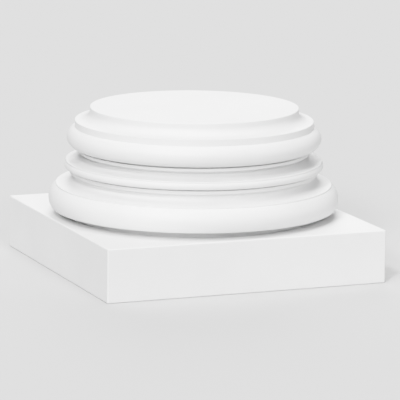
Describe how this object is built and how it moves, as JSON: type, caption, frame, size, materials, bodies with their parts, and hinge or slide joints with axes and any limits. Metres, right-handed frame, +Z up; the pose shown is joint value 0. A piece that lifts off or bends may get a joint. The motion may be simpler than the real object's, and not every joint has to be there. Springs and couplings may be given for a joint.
{
  "type": "column base",
  "caption": "Classical column base in smooth white moulded plastic: square plinth, round tori and scotias, flat round seat for the shaft.",
  "frame": {"origin": "centre of the plinth's underside, on the column's axis, on the surface that the base stands on", "axes": "+Z up along the column's axis; +X and +Y square to the plinth's sides, which are all alike"},
  "size_m": [0.35, 0.35, 0.193],
  "materials": {
    "moulded_white": "smooth moulded rigid polyurethane, factory primed white, satin-matte"
  },
  "bodies": {
    "root": {"column_base": "moulded_white"}
  },
  "joints": []
}
